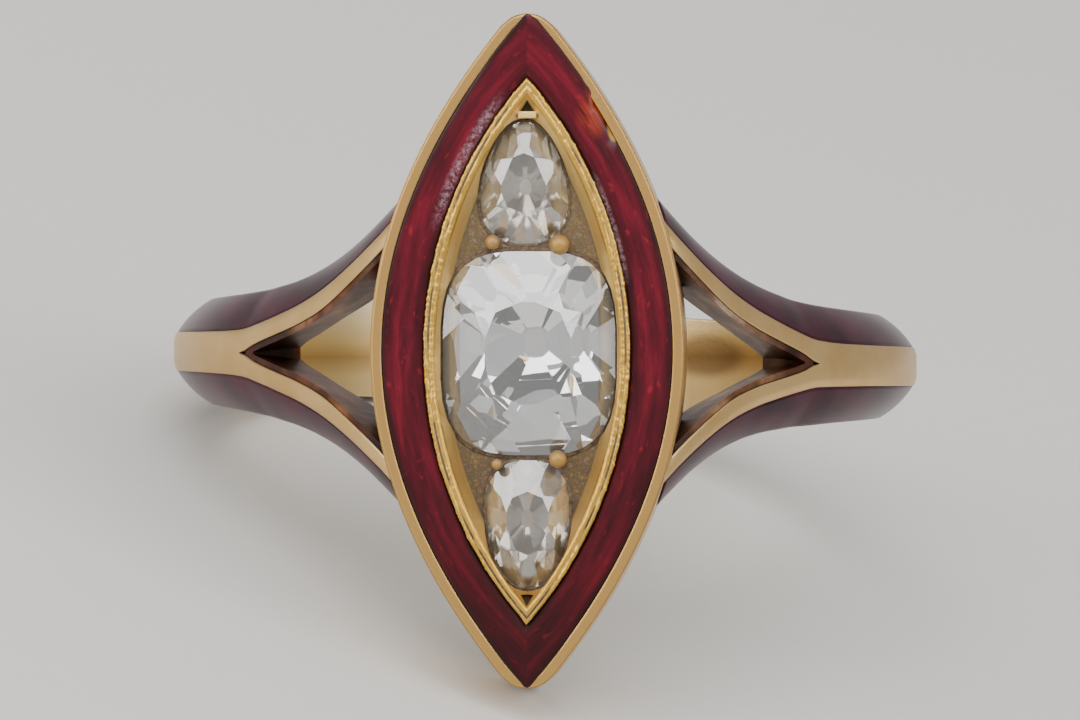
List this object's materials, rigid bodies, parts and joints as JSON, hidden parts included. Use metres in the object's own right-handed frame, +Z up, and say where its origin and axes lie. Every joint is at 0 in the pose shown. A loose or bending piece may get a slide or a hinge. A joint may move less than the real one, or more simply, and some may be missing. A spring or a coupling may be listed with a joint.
{
  "type": "navette ring",
  "caption": "Gold navette ring: a pointed-oval head with three old-cut stones inside a red enamel band, on a forked hoop with dark enamel shoulders.",
  "frame": {"origin": "on the floor, under the middle of the ring's box as it lies at rest", "axes": "+Z up, -Y towards the face of the head, +X to the right as the head is looked at; the finger hole's axis leans from +Z back towards +Y and over towards -X"},
  "size_m": [0.02, 0.0236, 0.0174],
  "materials": {
    "gold": "worn polish",
    "red_enamel": "fused glass, softly worn",
    "purple_enamel": "fused glass, softly worn",
    "stone": "polished facets"
  },
  "bodies": {
    "root": {"gold_frame": "gold", "head_enamel": "red_enamel", "centre_stone": "stone", "upper_stone": "stone", "lower_stone": "stone", "shoulder_enamel_left_upper": "purple_enamel", "shoulder_enamel_left_lower": "purple_enamel", "shoulder_enamel_right_upper": "purple_enamel", "shoulder_enamel_right_lower": "purple_enamel", "window_enamel_left": "purple_enamel", "window_enamel_right": "purple_enamel"}
  },
  "joints": []
}
